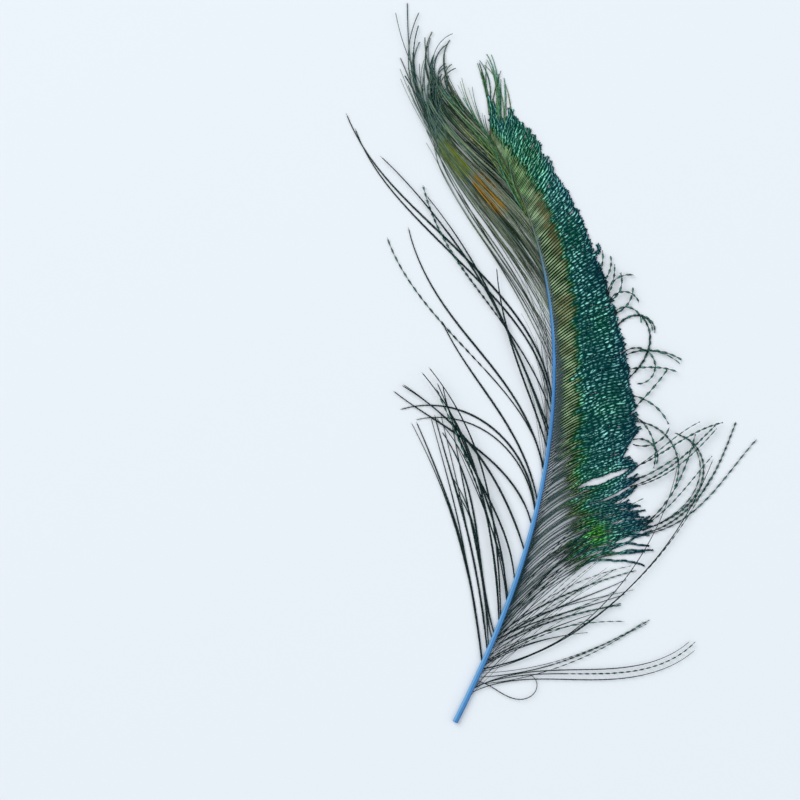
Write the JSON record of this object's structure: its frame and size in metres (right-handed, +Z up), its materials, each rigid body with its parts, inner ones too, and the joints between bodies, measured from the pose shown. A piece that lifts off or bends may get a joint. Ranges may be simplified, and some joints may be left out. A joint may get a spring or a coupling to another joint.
{
  "type": "peacock sword feather",
  "caption": "Cut peacock sword feather lying flat: dyed blue shaft, emerald outer web parted into locks, long loose inner barbs, plumed tip.",
  "frame": {"origin": "the middle of the feather's outline, on the surface that it lies on", "axes": "+Z up out of that surface, face of the feather up; +Y from the cut end towards the tip; +X towards the broad outer web"},
  "size_m": [0.1782, 0.3164, 0.0051],
  "materials": {
    "dyed_shaft": "keratin dyed bright blue, satin, with a paler back and darker flanks",
    "iridescent_web": "iridescent barbs: bare grey beside the shaft, then bronze and yellow-green, emerald flecks, petrol blue at the edge",
    "loose_barb": "dark green-grey loose barbs with a dull sheen, beaded with green towards their tips"
  },
  "bodies": {
    "root": {"base_barb_01": "loose_barb", "base_barb_02": "loose_barb", "base_barb_03": "loose_barb", "base_barb_04": "loose_barb", "base_barb_05": "loose_barb", "base_barb_06": "loose_barb", "base_barb_07": "loose_barb", "base_barb_08": "loose_barb", "base_lock": "iridescent_web", "inner_barb_01": "loose_barb", "inner_barb_02": "loose_barb", "inner_barb_03": "loose_barb", "inner_barb_04": "loose_barb", "inner_barb_05": "loose_barb", "inner_barb_06": "loose_barb", "inner_barb_07": "loose_barb", "inner_barb_08": "loose_barb", "inner_barb_09": "loose_barb", "inner_barb_10": "loose_barb", "inner_barb_11": "loose_barb", "inner_barb_12": "loose_barb", "inner_barb_13": "loose_barb", "inner_barb_14": "loose_barb", "inner_barb_15": "loose_barb", "lower_lock": "iridescent_web", "middle_lock": "iridescent_web", "outer_vane": "iridescent_web", "plume_strand_01": "loose_barb", "plume_strand_02": "loose_barb", "plume_strand_03": "loose_barb", "plume_strand_04": "loose_barb", "plume_strand_05": "loose_barb", "plume_strand_06": "loose_barb", "plume_strand_07": "loose_barb", "plume_strand_08": "loose_barb", "plume_strand_09": "loose_barb", "plume_strand_10": "loose_barb", "shaft": "dyed_shaft", "stray_end_01": "loose_barb", "stray_end_02": "loose_barb", "stray_end_03": "loose_barb", "stray_end_04": "loose_barb", "stray_end_05": "loose_barb", "stray_end_06": "loose_barb", "stray_end_07": "loose_barb", "stray_end_08": "loose_barb", "tip_plume": "iridescent_web", "tip_tuft": "iridescent_web", "tuft_point_01": "iridescent_web", "tuft_point_02": "iridescent_web", "tuft_point_03": "iridescent_web"}
  },
  "joints": []
}
